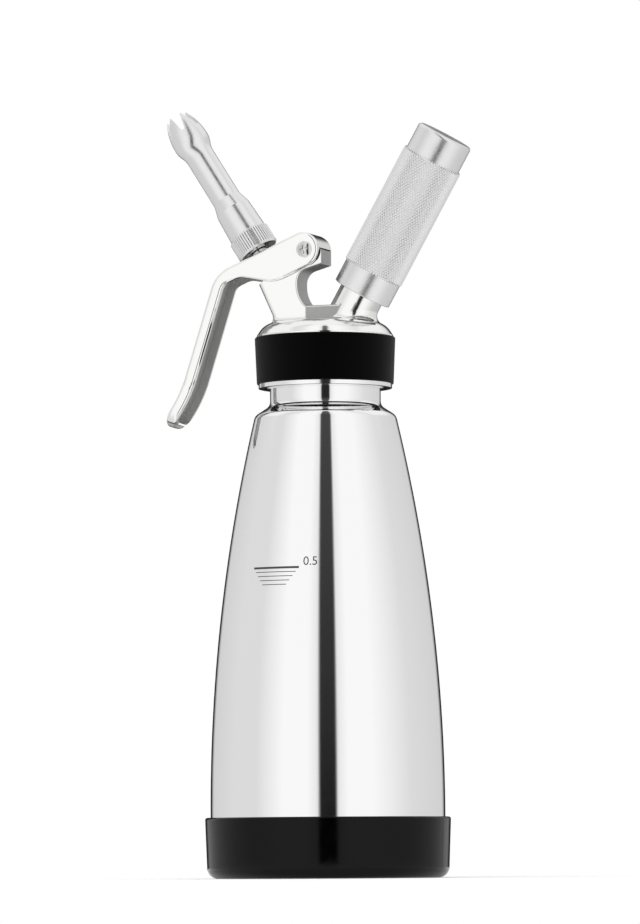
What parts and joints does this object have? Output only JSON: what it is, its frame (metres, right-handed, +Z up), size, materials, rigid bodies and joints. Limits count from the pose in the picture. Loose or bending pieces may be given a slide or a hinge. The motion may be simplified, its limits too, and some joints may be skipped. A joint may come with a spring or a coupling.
{
  "type": "whipping siphon",
  "caption": "Steel cream whipper: tapered bottle in a rubber boot, screw-on cast head with a sprung lever valve, tulip nozzle and knurled charger holder.",
  "frame": {"origin": "centre of the boot's flat underside, on the bottle's axis", "axes": "+Z up along the bottle, +X towards the charger holder, -Y towards the viewer of the picture"},
  "size_m": [0.1153, 0.088, 0.2781],
  "materials": {
    "polished_steel": "mirror-polished stainless steel",
    "polished_casting": "polished stainless casting",
    "satin_steel": "satin stainless steel",
    "turned_steel": "plain turned stainless steel",
    "spring_steel": "drawn spring wire",
    "charger_steel": "zinc-coated steel",
    "satin_aluminium": "satin anodised aluminium, knurled",
    "black_rubber": "smooth satin rubber",
    "soft_seal": "food-safe silicone"
  },
  "bodies": {
    "bottle": {"bottle": "polished_steel", "neck_ring": "polished_steel", "base_boot": "black_rubber"},
    "head_seal": {"head_gasket": "soft_seal"},
    "head": {"head_casting": "polished_casting", "grip_band": "black_rubber", "stem_seal": "soft_seal", "gland_washer": "turned_steel", "piercing_pin": "turned_steel", "charger_seal": "soft_seal", "check_sleeve": "soft_seal"},
    "lever": {"lever": "polished_casting", "pivot_sleeve": "turned_steel", "pivot_screw": "turned_steel"},
    "valve": {"valve_stem": "turned_steel", "valve_gasket": "soft_seal", "valve_spring": "spring_steel", "spring_collar": "turned_steel", "retaining_ring": "spring_steel"},
    "nozzle": {"tulip_nozzle": "satin_steel"},
    "charger": {"gas_charger": "charger_steel"},
    "holder": {"charger_holder": "satin_aluminium"}
  },
  "joints": [
    {"name": "head_lift", "type": "slide", "parent": "bottle", "child": "head_seal", "axis": [0, 0, 1], "range_m": [0, 0.012]},
    {"name": "head_turn", "type": "hinge", "parent": "head_seal", "child": "head", "pos_m": [0, 0, 0.1884], "axis": [0, 0, 1], "range_deg": [0, 1440]},
    {"name": "lever_press", "type": "hinge", "parent": "head", "child": "lever", "pos_m": [-0.005, 0, 0.2253], "axis": [0, -1, 0], "range_deg": [0, 10]},
    {"name": "valve_stroke", "type": "slide", "parent": "head", "child": "valve", "axis": [0.5373, 0, -0.8434], "range_m": [0, 0.003], "stiffness_N_per_m": 1500, "springref_m": -0.006, "deforming": ["valve_spring"]},
    {"name": "nozzle_lift", "type": "slide", "parent": "valve", "child": "nozzle", "axis": [-0.5373, 0, 0.8434], "range_m": [0, 0.012]},
    {"name": "charger_travel", "type": "slide", "parent": "head", "child": "charger", "axis": [0.5, 0, 0.866], "range_m": [0, 0.009]},
    {"name": "holder_turn", "type": "hinge", "parent": "charger", "child": "holder", "pos_m": [0.0006, 0, 0.1856], "axis": [0.5, 0, 0.866], "range_deg": [0, 2160]}
  ],
  "couplings": [
    {"joint": "head_turn", "follows": "head_lift", "rad_per_m": 2094.4},
    {"joint": "lever_press", "follows": "valve_stroke", "rad_per_m": 58.078},
    {"joint": "holder_turn", "follows": "charger_travel", "rad_per_m": 4188.8}
  ]
}
